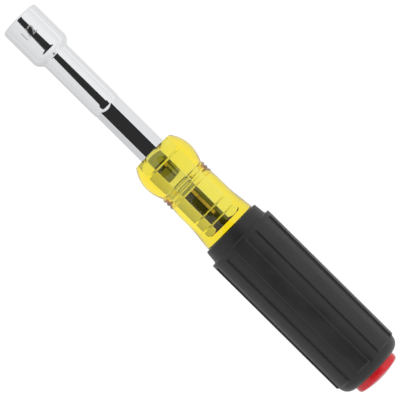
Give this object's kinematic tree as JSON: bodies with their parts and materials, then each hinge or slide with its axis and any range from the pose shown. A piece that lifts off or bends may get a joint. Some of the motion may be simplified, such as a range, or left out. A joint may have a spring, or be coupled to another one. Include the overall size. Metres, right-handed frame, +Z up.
{
  "type": "nut driver",
  "caption": "Hand nut driver with a hollow chromed shaft, a hexagon nut socket, a see-through yellow handle core, a ribbed black cushion grip and a red end cap.",
  "frame": {"origin": "under the middle of the tool, on the surface that it lies on", "axes": "+X along the tool from the socket mouth to the end cap, +Z up, with one drive flat and one grip land facing up"},
  "size_m": [0.211, 0.0326, 0.0326],
  "materials": {
    "chromed_steel": "bright chrome plate",
    "clear_yellow": "polished, see-through",
    "black_rubber": "matte moulded rubber",
    "red_plastic": "glossy moulded plastic"
  },
  "bodies": {
    "root": {"socket_shaft": "chromed_steel", "handle_core": "clear_yellow", "cushion_grip": "black_rubber", "end_cap": "red_plastic"}
  },
  "joints": []
}
